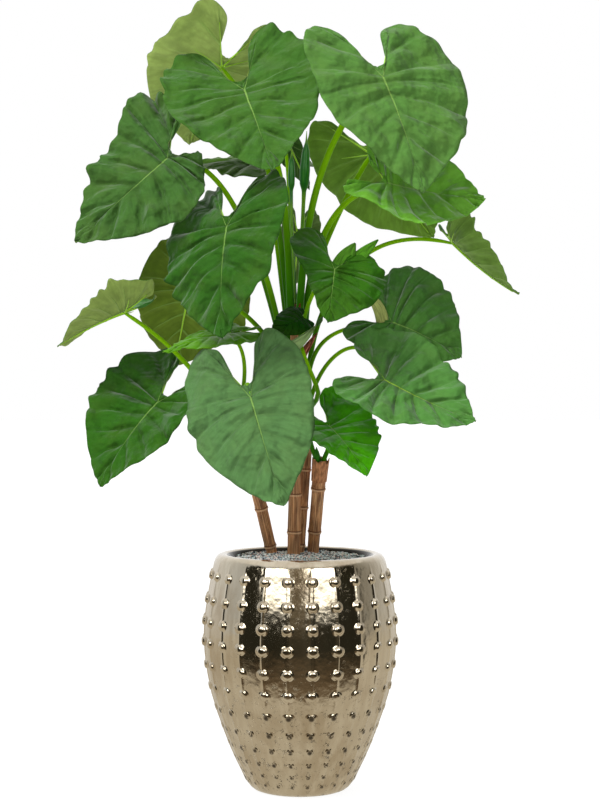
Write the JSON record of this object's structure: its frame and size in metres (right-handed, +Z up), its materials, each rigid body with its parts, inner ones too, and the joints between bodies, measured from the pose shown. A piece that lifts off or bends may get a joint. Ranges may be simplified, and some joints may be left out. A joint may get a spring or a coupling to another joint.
{
  "type": "giant taro in planter",
  "caption": "Tall potted aroid with large heart-shaped leaves on long stalks, ringed canes, gravel and a studded ovoid metallic planter.",
  "frame": {"origin": "centre of the planter's flat base, on the surface it stands on", "axes": "+Z up along the planter's axis, -Y the front, +X to the right seen from the front"},
  "size_m": [1.156, 0.8575, 1.9594],
  "materials": {
    "glaze": "bronze metallic glaze, glossy with fine pitting",
    "soil": "damp crumbly fill",
    "gravel": "fine grey stone grains",
    "cane": "fibrous ringed bark",
    "leaf": "satin waxy leaf, darker above, paler below"
  },
  "bodies": {
    "root": {"pot": "glaze", "cane_1": "cane", "cane_2": "cane", "cane_3": "cane", "cane_4": "cane", "soil": "soil", "gravel": "gravel", "leaf_top_back": "leaf", "leaf_top_front": "leaf", "leaf_top_right": "leaf", "leaf_left_high": "leaf", "leaf_left_mid": "leaf", "leaf_left_back": "leaf", "leaf_left_far": "leaf", "leaf_low_left": "leaf", "leaf_low_front": "leaf", "leaf_left_narrow": "leaf", "leaf_mid_small": "leaf", "leaf_crown_small": "leaf", "leaf_right_back": "leaf", "leaf_right_low": "leaf", "leaf_right_small": "leaf", "leaf_right_high": "leaf", "leaf_right_behind": "leaf", "leaf_right_far": "leaf", "leaf_back_top": "leaf", "leaf_back_mid": "leaf", "leaf_back_low": "leaf", "spear_front": "leaf", "spear_back": "leaf"}
  },
  "joints": []
}
